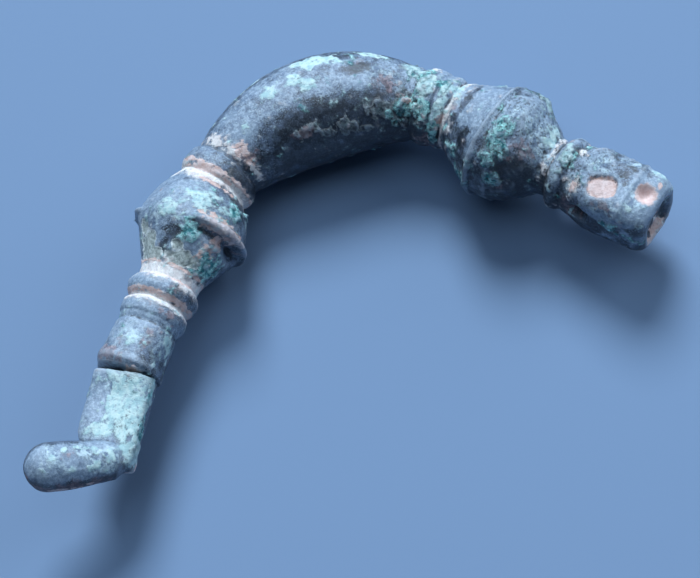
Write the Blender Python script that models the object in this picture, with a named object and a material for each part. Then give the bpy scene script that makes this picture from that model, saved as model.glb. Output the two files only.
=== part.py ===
"""Bow brooch of cast bronze, found without its pin, lying on its side.

One casting: a swollen bow between two arms, each arm with collars, grooves and a
large ridged bead, a socketed terminal at the head and a catch plate with a bent
finger at the foot.

The solid is swept along a centre line that lies in one plane, the bow plane.
Lengths in the design functions are millimetres, in this design frame: the
origin is midway between the two bead ridges, x runs from the foot's bead to the
head's bead, y points to the crown of the bow and z is square to the bow plane.
At the end the casting is laid on the ground as it comes to rest, on both bead
ridges and the bow, and centred on the origin in metres.
"""
import math

import bpy
import numpy as np
from mathutils import Matrix, Vector

MM = 0.001

# Centre line.
BEAD_SPAN = 28.7          # between the two bead ridges
CROWN_RISE = 8.7          # crown of the centre line above the line through the beads
ARM_SLOPE = math.radians(54.0)
FOOT_TURN = math.radians(9.0)      # the foot plate turns in, under the arch
HEAD_TURN = math.radians(-5.0)     # the head arm turns out past its bead
PLATE_START = 14.0        # distance from the foot's bead ridge to the catch plate
STEP_RUN = 0.3            # length over which the block steps down to the plate
PLATE_CORNER = 19.3       # where the plate's outer edge starts to curve in
PLATE_END = 22.3
TERMINAL_START = 8.2      # distance from the head's bead ridge to the terminal
HEAD_END = 16.1           # and to its end face
BOW_END = 6.2             # distance from each bead ridge to the bow's end
SWELL_START = 6.9         # distance from the foot's bead ridge to the bow's swelling
SWELL_END = 8.0           # and from the head's

# Radii and half widths.
BEAD_RADIUS = 5.4
BEAD_BODY_RADIUS = 5.05
BOW_END_RADIUS = 3.1
BOW_RADIUS = 4.9          # at the thickest part of the bow
LIP_HALF_WIDTH = 0.35     # of the ridge round each bead
PLATE_HALF_WIDTH = 2.65
PLATE_ABOVE = 1.35        # plate surface above and below the bow plane
PLATE_BELOW = 1.65
FLATTENING = 1.03         # cuts the tops of the plate's rounded sections off flat
TERMINAL_HALF_WIDTH = 3.15
TERMINAL_ROOF = ((TERMINAL_START, 3.0), (10.2, 3.1), (13.7, 3.25), (HEAD_END, 2.9))

# Squareness of the sections, the power of their superellipse: 2 is round.
BLOCK_SQUARENESS = ((8.9, 2.0), (11.0, 2.7))
HEAD_SQUARENESS = ((8.2, 2.0), (10.0, 3.4))
PLATE_SQUARENESS = 4.5
PLATE_END_ROUNDNESS = 0.98

# Catch finger, a rounded bar that leaves the plate and leans up.
FINGER_RADIUS = 2.1
FINGER_SHANK = ((-0.9, 0.7), (-0.5, 1.25), (0.2, 1.7), (2.2, 1.9), (4.2, 2.05))
FINGER_LENGTH = 5.7       # from its root to the centre of its round tip
FINGER_LEAN = math.radians(26.0)
FINGER_ROOT = (-25.1, -18.7, 0.2)

# Sockets in the terminal: distance along the arm, offset across it.
PANEL_SOCKET = (11.05, -0.75)
PANEL_SIZE = (2.3, 1.9)
PANEL_DEPTH = 0.7
PANEL_SQUARENESS = 3.5
SOCKET_ROOF = 3.2         # height of the terminal's roof over the sockets
ROUND_SOCKET = (14.75, 0.1)
ROUND_RADIUS = 0.85
ROUND_DEPTH = 1.4
SIDE_HOLLOW = (9.6, -0.6)         # along the arm, above the bow plane
SIDE_HOLLOW_RADIUS = 0.8
SIDE_HOLLOW_STRETCH = 1.2
SIDE_HOLLOW_DEPTH = 1.6

# Facets.
POINTS_ROUND = 24
BOW_STEP = 1.5
ROUNDING_STEPS = 6
FINGER_SIDES = 20
CORNER_STATIONS = 6
PANEL_SIDES = 16
HOLE_SIDES = 14
LEAST_STEP = 0.015        # stations nearer together than this are left out
JUST_INSIDE = 0.999
SHARP_ANGLE = math.radians(35)

# Mouldings with a rounded crest: arm, distance outward from the bead's ridge,
# half width, radius at the foot of the moulding, radius at its crest.
COLLARS = (
    ("foot", -6.2, 1.15, 2.9, 3.65),
    ("foot", 0.0, LIP_HALF_WIDTH, 4.6, BEAD_RADIUS),
    ("foot", 6.2, 0.95, 2.4, 3.2),
    ("foot", 8.2, 0.75, 2.4, 2.95),
    ("head", -7.1, 1.2, 2.9, 3.5),
    ("head", -5.5, 0.7, 2.9, 3.35),
    ("head", 0.0, LIP_HALF_WIDTH, 4.6, BEAD_RADIUS),
    ("head", 7.0, 0.85, 2.4, 3.3),
)

# Radius between the collars: distance outward from the bead's ridge, radius.
FOOT_CORE = ((-7.6, 3.05), (-4.9, 3.15), (-4.5, 3.35), (-3.0, 4.25), (-1.5, 4.8),
             (0.0, BEAD_BODY_RADIUS), (4.4, 2.75), (5.4, 2.6), (7.3, 2.4), (8.9, 2.6),
             (12.9, 2.68), (13.5, 2.9), (PLATE_START, 2.85))
HEAD_CORE = ((-8.5, 3.15), (-4.7, 3.0), (0.0, 5.2), (1.5, 5.1), (2.7, 4.6), (3.9, 3.8),
             (5.3, 2.6), (6.4, 2.5), (8.0, 3.0), (10.5, TERMINAL_HALF_WIDTH + 0.1),
             (HEAD_END, TERMINAL_HALF_WIDTH - 0.1))


def bow_arc():
    """Radius and centre height of the bow's arc, and the ridge-to-arc distance."""
    half = BEAD_SPAN / 2
    rise = half * math.sin(ARM_SLOPE) - CROWN_RISE * math.cos(ARM_SLOPE)
    radius = rise / (1 - math.cos(ARM_SLOPE))
    straight = (half - radius * math.sin(ARM_SLOPE)) / math.cos(ARM_SLOPE)
    return radius, CROWN_RISE - radius, straight


ARC_RADIUS, ARC_CENTRE, ARC_START = bow_arc()
ARC_LENGTH = 2 * ARC_RADIUS * ARM_SLOPE
RIDGE_TO_RIDGE = 2 * ARC_START + ARC_LENGTH


def centre_line(along):
    """Points and headings of the centre line, counted from the foot's bead ridge.

    A straight arm, a circular arc and a second straight arm, each arm turned once.
    """
    beyond = along - ARC_START
    heading = ARM_SLOPE - np.clip(beyond / ARC_RADIUS, 0, 2 * ARM_SLOPE)
    straight = np.minimum(beyond, 0) + np.maximum(beyond - ARC_LENGTH, 0)
    x = -ARC_RADIUS * np.sin(heading) + straight * np.cos(heading)
    y = ARC_CENTRE + ARC_RADIUS * np.cos(heading) + straight * np.sin(heading)
    for start, turn, side in ((-PLATE_START, FOOT_TURN, -1), (RIDGE_TO_RIDGE, -HEAD_TURN, 1)):
        past = side * np.maximum(side * (along - start), 0)
        x = x + past * (np.cos(heading + turn) - np.cos(heading))
        y = y + past * (np.sin(heading + turn) - np.sin(heading))
        heading = np.where(past != 0, heading + turn, heading)
    return x, y, heading


def outward(along):
    """Distances outward from the foot's and from the head's bead ridge."""
    return {"foot": -along, "head": along - RIDGE_TO_RIDGE}


def radius_along(along):
    """Radius of the round parts: the largest of the core, the bow and the collars."""
    places = outward(along)
    shapes = []
    for arm, core in (("foot", FOOT_CORE), ("head", HEAD_CORE)):
        stations, radii = zip(*core)
        shapes.append(np.interp(places[arm], stations, radii, left=0, right=0))
    swell_length = RIDGE_TO_RIDGE - SWELL_START - SWELL_END
    part = np.clip((along - SWELL_START) / swell_length, 0, 1)
    swell = BOW_END_RADIUS + (BOW_RADIUS - BOW_END_RADIUS) * np.sin(math.pi * part)
    on_bow = (along > BOW_END) & (along < RIDGE_TO_RIDGE - BOW_END)
    shapes.append(np.where(on_bow, swell, 0))
    for arm, centre, half, low, high in COLLARS:
        across = np.clip((places[arm] - centre) / half, -1, 1)
        crest = low + (high - low) * np.sqrt(1 - across ** 2)
        shapes.append(np.where(np.abs(across) < 1, crest, 0))
    return np.max(shapes, axis=0)


def section_sizes(along):
    """Half sizes of each section: outer side, inner side, above, below, squareness."""
    radius = radius_along(along)
    places = outward(along)
    outer, inner, above, below = radius.copy(), radius.copy(), radius.copy(), radius.copy()
    square = np.maximum(np.interp(places["foot"], *zip(*BLOCK_SQUARENESS)),
                        np.interp(places["head"], *zip(*HEAD_SQUARENESS)))

    plate = places["foot"] > PLATE_START
    taper = np.clip((places["foot"] - PLATE_CORNER) / (PLATE_END - PLATE_CORNER), 0, 1)
    outer[plate] = (PLATE_HALF_WIDTH * np.sqrt(1 - PLATE_END_ROUNDNESS * taper ** 2))[plate]
    inner[plate] = PLATE_HALF_WIDTH
    above[plate] = PLATE_ABOVE
    below[plate] = PLATE_BELOW
    square[plate] = PLATE_SQUARENESS

    terminal = places["head"] > TERMINAL_START
    roof = np.interp(places["head"], *zip(*TERMINAL_ROOF))
    above[terminal] = roof[terminal]
    return outer, inner, above, below, square


def stations():
    """Distances along the centre line at which the sections stand."""
    marks = set(np.arange(SWELL_START + 0.7, RIDGE_TO_RIDGE - SWELL_END - 0.6, BOW_STEP))
    sweep = np.cos(np.linspace(0, math.pi, ROUNDING_STEPS + 1))
    for arm, centre, half, low, high in COLLARS:
        for place in centre + JUST_INSIDE * half * sweep:
            marks.add(-place if arm == "foot" else RIDGE_TO_RIDGE + place)
    marks.update(-place for place, _ in FOOT_CORE)
    marks.update(RIDGE_TO_RIDGE + place for place, _ in HEAD_CORE)
    marks.update((-PLATE_START, -PLATE_START - STEP_RUN))
    marks.update(-np.linspace(PLATE_CORNER, PLATE_END, CORNER_STATIONS))
    marks.update(RIDGE_TO_RIDGE + place for place, _ in TERMINAL_ROOF)
    marks.update(RIDGE_TO_RIDGE + place for place in (9.0, 12.0, 15.2))
    ordered = np.array(sorted(marks))
    clear = np.concatenate(([True], np.diff(ordered) > LEAST_STEP))
    return ordered[clear]


def swept_rings():
    """Every section's points, as one array of rings."""
    along = stations()
    x, y, heading = centre_line(along)
    outer, inner, above, below, square = section_sizes(along)
    turn = 2 * math.pi * np.arange(POINTS_ROUND) / POINTS_ROUND
    across = np.sign(np.cos(turn)) * np.abs(np.cos(turn)) ** (2 / square[:, None])
    height = np.sign(np.sin(turn)) * np.abs(np.sin(turn)) ** (2 / square[:, None])
    flat = (outward(along)["foot"] > PLATE_START)[:, None]
    height = np.where(flat, np.clip(FLATTENING * height, -1, 1), height)
    across = across * np.where(across > 0, outer[:, None], inner[:, None])
    height = height * np.where(height > 0, above[:, None], below[:, None])
    return np.stack((x[:, None] - across * np.sin(heading)[:, None],
                     y[:, None] + across * np.cos(heading)[:, None],
                     height), axis=-1)


def mesh_object(name, points, faces):
    """A new object from points and faces, in the design frame."""
    mesh = bpy.data.meshes.new(name)
    mesh.from_pydata([tuple(point) for point in points], [], faces)
    mesh.update()
    thing = bpy.data.objects.new(name, mesh)
    bpy.context.scene.collection.objects.link(thing)
    return thing


def tube_object(name, rings):
    """A closed tube through the rings, with a flat face at each end."""
    count, sides = rings.shape[:2]
    faces = [tuple(range(sides))[::-1]]
    for ring in range(count - 1):
        for side in range(sides):
            near = ring * sides + side
            next_near = ring * sides + (side + 1) % sides
            faces.append((near, next_near, next_near + sides, near + sides))
    faces.append(tuple(range((count - 1) * sides, count * sides)))
    return mesh_object(name, rings.reshape(-1, 3), faces)


def finger_object():
    """The catch finger: a round bar with a slightly swollen, domed tip."""
    dome = np.linspace(0, math.pi / 2, ROUNDING_STEPS)[:-1]
    shank_along, shank_radius = zip(*FINGER_SHANK)
    along = np.concatenate((shank_along, FINGER_LENGTH + FINGER_RADIUS * np.sin(dome)))
    radius = np.concatenate((shank_radius, FINGER_RADIUS * np.cos(dome)))
    turn = 2 * math.pi * np.arange(FINGER_SIDES) / FINGER_SIDES
    ahead = np.array((-math.cos(FINGER_LEAN), 0, math.sin(FINGER_LEAN)))
    aside = np.array((0, -1, 0))
    up = np.cross(ahead, aside)
    round_part = np.cos(turn)[:, None] * aside + np.sin(turn)[:, None] * up
    rings = (np.array(FINGER_ROOT) + along[:, None, None] * ahead
             + radius[:, None, None] * round_part)
    return tube_object("finger_tool", rings)


def head_frame():
    """Start point and directions of the head arm: along it, across it, upwards."""
    x, y, heading = centre_line(np.array([RIDGE_TO_RIDGE + 1e-6]))
    along = Vector((math.cos(heading[0]), math.sin(heading[0]), 0))
    across = Vector((-math.sin(heading[0]), math.cos(heading[0]), 0))
    return Vector((x[0], y[0], 0)), along, across


def prism_cutter(name, centre, depth_axis, side_axis, outline, depth):
    """A straight prism round an outline, centred on a point, for cutting."""
    other_axis = depth_axis.cross(side_axis)
    rings = []
    for end in (-depth, depth):
        rings.append([centre + depth_axis * end + side_axis * u + other_axis * v
                      for u, v in outline])
    return tube_object(name, np.array(rings))


def rounded_outline(width, height, square, count):
    """Outline of a rounded rectangle, as a superellipse."""
    turn = 2 * math.pi * np.arange(count) / count
    u = np.sign(np.cos(turn)) * np.abs(np.cos(turn)) ** (2 / square) * width / 2
    v = np.sign(np.sin(turn)) * np.abs(np.sin(turn)) ** (2 / square) * height / 2
    return list(zip(u, v))


def combine(target, tool, operation):
    """Apply one exact Boolean and remove its tool."""
    step = target.modifiers.new(operation.lower(), "BOOLEAN")
    step.operation = operation
    step.solver = "EXACT"
    step.object = tool
    graph = bpy.context.evaluated_depsgraph_get()
    result = bpy.data.meshes.new_from_object(target.evaluated_get(graph))
    target.modifiers.remove(step)
    target.data = result
    bpy.data.objects.remove(tool, do_unlink=True)


def cut_sockets(casting):
    """The panel socket, the round socket and the hollow in the head's side."""
    start, along, across = head_frame()
    up = Vector((0, 0, 1))
    outline = rounded_outline(*PANEL_SIZE, PANEL_SQUARENESS, PANEL_SIDES)
    centre = start + along * PANEL_SOCKET[0] + across * PANEL_SOCKET[1] + up * SOCKET_ROOF
    combine(casting, prism_cutter("panel_tool", centre, up, along, outline, PANEL_DEPTH),
            "DIFFERENCE")
    outline = rounded_outline(2 * ROUND_RADIUS, 2 * ROUND_RADIUS, 2, HOLE_SIDES)
    centre = start + along * ROUND_SOCKET[0] + across * ROUND_SOCKET[1] + up * SOCKET_ROOF
    combine(casting, prism_cutter("round_tool", centre, up, along, outline, ROUND_DEPTH),
            "DIFFERENCE")
    height = 2 * SIDE_HOLLOW_RADIUS
    outline = rounded_outline(SIDE_HOLLOW_STRETCH * height, height, 2, HOLE_SIDES)
    centre = start + along * SIDE_HOLLOW[0] - across * TERMINAL_HALF_WIDTH
    centre = centre + up * SIDE_HOLLOW[1]
    combine(casting, prism_cutter("hollow_tool", centre, across, along, outline,
                                  SIDE_HOLLOW_DEPTH),
            "DIFFERENCE")


def lay_down(casting):
    """Turn the casting onto both bead ridges and the bow, and centre it in metres."""
    tilt = math.asin((BEAD_RADIUS - BOW_RADIUS) / CROWN_RISE)
    casting.data.transform(Matrix.Rotation(-tilt, 4, "X"))
    points = np.empty(3 * len(casting.data.vertices))
    casting.data.vertices.foreach_get("co", points)
    low = points.reshape(-1, 3).min(axis=0)
    high = points.reshape(-1, 3).max(axis=0)
    middle = Vector(((low[0] + high[0]) / 2, (low[1] + high[1]) / 2, low[2]))
    casting.data.transform(Matrix.Scale(MM, 4) @ Matrix.Translation(-middle))


def bronze():
    """Dark patinated bronze."""
    material = bpy.data.materials.new("patinated_bronze")
    material.use_nodes = True
    shader = material.node_tree.nodes["Principled BSDF"]
    shader.inputs["Base Color"].default_value = (0.10, 0.14, 0.15, 1)
    shader.inputs["Metallic"].default_value = 0.2
    shader.inputs["Roughness"].default_value = 0.55
    return material


def build():
    """Remove what is in the scene and model the brooch."""
    for thing in list(bpy.data.objects):
        bpy.data.objects.remove(thing, do_unlink=True)
    casting = tube_object("bow_brooch", swept_rings())
    combine(casting, finger_object(), "UNION")
    cut_sockets(casting)
    lay_down(casting)
    casting.data.materials.clear()
    casting.data.materials.append(bronze())
    casting.data.shade_smooth()
    casting.data.set_sharp_from_angle(angle=SHARP_ANGLE)


build()
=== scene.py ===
import itertools
import math

import bpy
import numpy as np
from mathutils import Matrix, Vector


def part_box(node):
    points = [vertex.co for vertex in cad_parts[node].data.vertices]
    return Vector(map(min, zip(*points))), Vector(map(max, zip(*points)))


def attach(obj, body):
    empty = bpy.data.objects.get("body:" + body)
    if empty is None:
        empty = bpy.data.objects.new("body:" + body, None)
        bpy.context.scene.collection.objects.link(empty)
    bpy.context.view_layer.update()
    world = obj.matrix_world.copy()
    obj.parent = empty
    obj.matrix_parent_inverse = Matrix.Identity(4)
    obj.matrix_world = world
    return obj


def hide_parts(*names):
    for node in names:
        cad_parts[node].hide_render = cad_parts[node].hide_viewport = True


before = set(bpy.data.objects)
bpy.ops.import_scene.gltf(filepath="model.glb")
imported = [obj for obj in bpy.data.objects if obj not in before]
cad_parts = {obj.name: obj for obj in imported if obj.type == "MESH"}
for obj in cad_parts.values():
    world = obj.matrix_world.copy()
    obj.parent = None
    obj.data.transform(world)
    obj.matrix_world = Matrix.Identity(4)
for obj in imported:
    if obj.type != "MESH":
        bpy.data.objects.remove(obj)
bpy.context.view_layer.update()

MM = 0.001

# Centre line.
BEAD_SPAN = 28.7
CROWN_RISE = 8.7
ARM_SLOPE = math.radians(54.0)
FOOT_TURN = math.radians(9.0)
HEAD_TURN = math.radians(-5.0)
FOOT_BEND = 0.5
HEAD_BEND = 1.3
PLATE_START = 14.0
STEP_RUN = 0.06
PLATE_CORNER = 19.3
BLOCK_LIP = 0.9
BLOCK_LIP_DROPS = (0.3, 0.3, 0.5, 0.25)     # outer side, inner side, above, below
PLATE_END = 22.3
TERMINAL_START = 8.2
HEAD_END = 16.1
BOW_END = 6.2
SWELL_START = 6.9
SWELL_END = 8.0

# Radii and half widths.
BEAD_RADIUS = 5.4
BEAD_BODY_RADIUS = 5.05
BOW_END_RADIUS = 3.1
BOW_RADIUS = 4.9
LIP_HALF_WIDTH = 0.32
FLUSH_SOFTNESS = 0.55
PLATE_HALF_WIDTH = 2.65
PLATE_ABOVE = 1.35
PLATE_BELOW = 1.65
TERMINAL_HALF_WIDTH = 3.15
TERMINAL_ROOF = ((TERMINAL_START, 3.0), (10.2, 3.1), (13.1, 3.3), (HEAD_END, 2.9))
ROOF_RUN = 0.6            # length over which the terminal's roof is reached
END_TAPER = (14.7, 0.16, 2.2)     # start of the taper, share taken off, power
PROFILE_SOFTNESS = 0.07
PROFILE_STEP = 0.02
# Swelling and groove across the plate beside the block: height, place, half length.
PLATE_TOP = ((0.5, 14.6, 1.1), (-0.9, 14.13, 0.17))
# Wear of the sharp ridge on each bead: arm, share worn all round, share worn besides
# between two angles, softness of their ends.
LIP_WEAR = (("foot", 0.0, 1.0, 46, 98, 22), ("head", 0.2, 0.45, -70, 118, 30))
WEAR_REACH = 3.2
WEAR_FADE = 1.2

# Squareness of the sections, the power of their superellipse: 2 is round.
BLOCK_SQUARENESS = ((8.9, 2.0), (11.0, 2.7))
HEAD_SQUARENESS = ((8.2, 2.0), (10.0, 3.4))
PLATE_SQUARENESS = 4.5
PLATE_END_ROUNDNESS = 0.98

# Catch finger.
FINGER_RADIUS = 2.1
FINGER_SHANK = ((-0.9, 0.7), (-0.5, 1.25), (0.2, 1.7), (2.2, 1.9), (4.2, 2.05))
FINGER_ROOT_RINGS = ((-0.95, 0.1), (-0.9, 0.5), (-0.75, 1.0), (-0.45, 1.3))
FINGER_LENGTH = 5.7
FINGER_LEAN = math.radians(26.0)
FINGER_ROOT = (-25.1, -18.7, 0.2)

# Mouldings with a rounded crest: arm, distance outward from the bead's ridge,
# half width, radius at the foot of the moulding, radius at its crest.
COLLARS = (
    ("foot", -6.2, 1.15, 2.9, 3.65),
    ("foot", 0.0, LIP_HALF_WIDTH, 4.6, BEAD_RADIUS),
    ("foot", 6.2, 0.95, 2.4, 3.2),
    ("foot", 8.2, 0.75, 2.4, 2.95),
    ("head", -7.1, 1.2, 2.9, 3.5),
    ("head", -5.5, 0.7, 2.9, 3.35),
    ("head", 0.0, LIP_HALF_WIDTH, 4.6, BEAD_RADIUS),
    ("head", 7.0, 0.85, 2.4, 3.3),
)
FOOT_CORE = ((-7.6, 3.05), (-4.9, 3.15), (-4.5, 3.35), (-3.0, 4.25), (-1.5, 4.8),
             (0.0, BEAD_BODY_RADIUS), (4.4, 2.75), (5.4, 2.6), (7.3, 2.4), (8.9, 2.6),
             (12.9, 2.68), (13.5, 2.9), (PLATE_START, 2.85))
HEAD_CORE = ((-8.5, 3.15), (-4.7, 3.0), (0.0, 5.2), (1.5, 5.1), (2.7, 4.6), (3.9, 3.8),
             (5.3, 2.6), (6.4, 2.5), (8.0, 3.0), (10.5, TERMINAL_HALF_WIDTH + 0.1),
             (HEAD_END, TERMINAL_HALF_WIDTH - 0.1))

# Grid of the casting.
STATIONS = 575
SIDES = 148
COLLAR_DENSITY = 0.9
TERMINAL_DENSITY = 0.6
STEP_DENSITY = 2.5
EDGE_RADIUS = 0.35
EDGE_RINGS = 6
CAP_RINGS = 12


def smooth_step(value, low, high):
    """0 below low, 1 above high, and a smooth cubic between."""
    part = np.clip((value - low) / (high - low), 0, 1)
    return part * part * (3 - 2 * part)


def bow_arc():
    """Radius of the bow's arc, and the straight distance from a bead ridge to the arc."""
    half = BEAD_SPAN / 2
    rise = half * math.sin(ARM_SLOPE) - CROWN_RISE * math.cos(ARM_SLOPE)
    radius = rise / (1 - math.cos(ARM_SLOPE))
    straight = (half - radius * math.sin(ARM_SLOPE)) / math.cos(ARM_SLOPE)
    return radius, straight


ARC_RADIUS, ARC_START = bow_arc()
ARC_LENGTH = 2 * ARC_RADIUS * ARM_SLOPE
RIDGE_TO_RIDGE = 2 * ARC_START + ARC_LENGTH


def centre_line(along):
    """Points and headings of the centre line, counted from the foot's bead ridge.

    A straight arm, a circular arc and a second straight arm, each arm turned once by an
    even bend. The headings are summed up along the line, both ways from the crown.
    """
    fine = np.linspace(-PLATE_END - 1, RIDGE_TO_RIDGE + HEAD_END + 1, 20001)
    heading = ARM_SLOPE - np.clip((fine - ARC_START) / ARC_RADIUS, 0, 2 * ARM_SLOPE)
    heading = heading + FOOT_TURN * smooth_step(-fine - PLATE_START, -FOOT_BEND, FOOT_BEND)
    heading = heading - HEAD_TURN * smooth_step(fine - RIDGE_TO_RIDGE, -HEAD_BEND, HEAD_BEND)
    step = fine[1] - fine[0]
    x, y = [np.cumsum(part(heading)) * step for part in (np.cos, np.sin)]
    crown = ARC_START + ARC_LENGTH / 2
    x, y = [row - np.interp(crown, fine, row) for row in (x, y)]
    return (np.interp(along, fine, x), CROWN_RISE + np.interp(along, fine, y),
            np.interp(along, fine, heading))


def outward(along):
    """Distances outward from the foot's and from the head's bead ridge."""
    return {"foot": -along, "head": along - RIDGE_TO_RIDGE}


def hard_radius(along, lips=True):
    """Radius of the round parts: the largest of the core, the bow and the collars."""
    places = outward(along)
    shapes = []
    for arm, core in (("foot", FOOT_CORE), ("head", HEAD_CORE)):
        marks, radii = zip(*core)
        shapes.append(np.interp(places[arm], marks, radii, left=0, right=radii[-1]))
        shapes[-1] = np.where(places[arm] < marks[0], 0, shapes[-1])
    swell_length = RIDGE_TO_RIDGE - SWELL_START - SWELL_END
    part = np.clip((along - SWELL_START) / swell_length, 0, 1)
    swell = BOW_END_RADIUS + (BOW_RADIUS - BOW_END_RADIUS) * np.sin(math.pi * part)
    on_bow = (along > BOW_END) & (along < RIDGE_TO_RIDGE - BOW_END)
    shapes.append(np.where(on_bow, swell, 0))
    for arm, centre, half, low, high in COLLARS:
        if centre == 0 and not lips:
            continue
        across = np.clip((places[arm] - centre) / half, -1, 1)
        crest = low + (high - low) * np.sqrt(1 - across ** 2)
        shapes.append(np.where(np.abs(across) < 1, crest, 0))
    return np.max(shapes, axis=0)


def worn_radius(along, softness=PROFILE_SOFTNESS, lips=True):
    """The same radius with its corners worn soft: a Gaussian average along the piece."""
    fine = np.arange(-PLATE_END - 1, RIDGE_TO_RIDGE + HEAD_END + 1, PROFILE_STEP)
    half = int(4 * softness / PROFILE_STEP)
    reach = np.arange(-half, half + 1) * PROFILE_STEP
    weight = np.exp(-0.5 * (reach / softness) ** 2)
    soft = np.convolve(np.pad(hard_radius(fine, lips), half, mode="edge"),
                       weight / weight.sum(), "valid")
    return np.interp(along, fine, soft)


def between(turn, low, high, soft=12):
    """1 between two angles in degrees, with soft ends outside them."""
    middle, half = (low + high) / 2, (high - low) / 2
    away = np.abs((np.degrees(turn) - middle + 180) % 360 - 180)
    return smooth_step(half + soft - away, 0, soft)


def lip_wear(along, turn):
    """Share of the sharp bead ridges left after wear, as a factor on the radius."""
    wear = 0
    for arm, all_round, besides, low, high, soft in LIP_WEAR:
        near = smooth_step(WEAR_REACH - np.abs(outward(along)[arm]), 0, WEAR_FADE)
        wear = wear + near * (all_round + besides * between(turn, low, high, soft))
    return 1 + wear * (worn_radius(along, FLUSH_SOFTNESS, False) / worn_radius(along) - 1)


def section_sizes(along):
    """Half sizes of each section: outer side, inner side, above, below, squareness."""
    radius = worn_radius(along)
    places = outward(along)
    step = np.clip((places["foot"] - PLATE_START) / STEP_RUN, 0, 1)
    taper = np.clip((places["foot"] - PLATE_CORNER) / (PLATE_END - PLATE_CORNER), 0, 1)
    plate_outer = PLATE_HALF_WIDTH * np.sqrt(1 - PLATE_END_ROUNDNESS * taper ** 2)
    lip = np.clip((places["foot"] - PLATE_START + BLOCK_LIP) / BLOCK_LIP, 0, 1) ** 2 * (1 - step)
    outer, inner, above, below = [
        radius + (size - radius) * step - drop * lip for size, drop in
        zip((plate_outer, PLATE_HALF_WIDTH, PLATE_ABOVE, PLATE_BELOW), BLOCK_LIP_DROPS)]
    for rise, place, half in PLATE_TOP:
        above = above + step * rise * np.exp(-((places["foot"] - place) / half) ** 2)
    roof = np.interp(places["head"], *zip(*TERMINAL_ROOF))
    on_terminal = np.clip((places["head"] - TERMINAL_START) / ROOF_RUN, 0, 1)
    above = above + (roof - above) * on_terminal
    square = np.maximum(np.interp(places["foot"], *zip(*BLOCK_SQUARENESS)),
                        np.interp(places["head"], *zip(*HEAD_SQUARENESS)))
    square = square + (PLATE_SQUARENESS - square) * step
    start, share, power = END_TAPER
    end = 1 - share * np.clip((places["head"] - start) / (HEAD_END - start), 0, 1) ** power
    return outer * end, inner * end, above * end, below * end, square


def stations():
    """Distances along the centre line, closer together at the mouldings and sockets."""
    fine = np.arange(-PLATE_END + EDGE_RADIUS, RIDGE_TO_RIDGE + HEAD_END - EDGE_RADIUS, 0.01)
    places = outward(fine)
    density = np.ones_like(fine)
    for arm, centre, half, low, high in COLLARS:
        density += COLLAR_DENSITY * np.exp(-((places[arm] - centre) / (half + 0.5)) ** 2)
    density += TERMINAL_DENSITY * (places["head"] > TERMINAL_START)
    density += STEP_DENSITY * np.exp(-((places["foot"] - PLATE_START) / 0.35) ** 2)
    count = np.cumsum(density)
    return np.interp(np.linspace(count[0], count[-1], STATIONS), count, fine)


def casting_rings():
    """Stations and shrink factors of every ring, both ends rounded over and closed in.

    Each end runs round a quarter circle of the edge radius and then in over the flat
    end face to a point at its middle.
    """
    body = stations()
    quarter = np.linspace(0, math.pi / 2, EDGE_RINGS + 1)[1:]
    run = EDGE_RADIUS * np.sin(quarter)
    edge_shrink = 1 - 0.13 * (1 - np.cos(quarter))
    flat_shrink = edge_shrink[-1] * np.linspace(1, 0.03, CAP_RINGS + 1)[1:]
    along = np.concatenate((np.full(CAP_RINGS, body[0] - EDGE_RADIUS), (body[0] - run)[::-1],
                            body,
                            body[-1] + run, np.full(CAP_RINGS, body[-1] + EDGE_RADIUS)))
    shrink = np.concatenate((flat_shrink[::-1], edge_shrink[::-1], np.ones(len(body)),
                             edge_shrink, flat_shrink))
    return along, shrink


def casting_surface(along, shrink, turn):
    """Points of the casting on a grid of rings and angles.

    Polar superellipse: the radius in direction t is the reciprocal n-th root of
    |cos t / a|^n + |sin t / b|^n, with a and b the half sizes on that side.
    """
    x, y, heading = centre_line(along)
    outer, inner, above, below, square = [size[:, None] for size in section_sizes(along)]
    c, s = np.cos(turn)[None, :], np.sin(turn)[None, :]
    side = np.where(c > 0, outer, inner)
    rise = np.where(s > 0, above, below)
    reach = (np.abs(c / side) ** square + np.abs(s / rise) ** square) ** (-1 / square)
    reach = reach * lip_wear(along[:, None], turn[None, :])
    middle_across, middle_height = (outer - inner) / 2, (above - below) / 2
    across = middle_across + shrink[:, None] * (reach * c - middle_across)
    height = middle_height + shrink[:, None] * (reach * s - middle_height)
    return np.stack((x[:, None] - across * np.sin(heading)[:, None],
                     y[:, None] + across * np.cos(heading)[:, None],
                     height), axis=-1)


def grid_normals(points):
    """Unit normals of a grid that is closed round its second direction."""
    lengthways = np.gradient(points, axis=0)
    around = np.roll(points, -1, axis=1) - np.roll(points, 1, axis=1)
    normal = np.cross(around, lengthways)
    size = np.linalg.norm(normal, axis=-1, keepdims=True)
    return normal / np.maximum(size, 1e-9)


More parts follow.
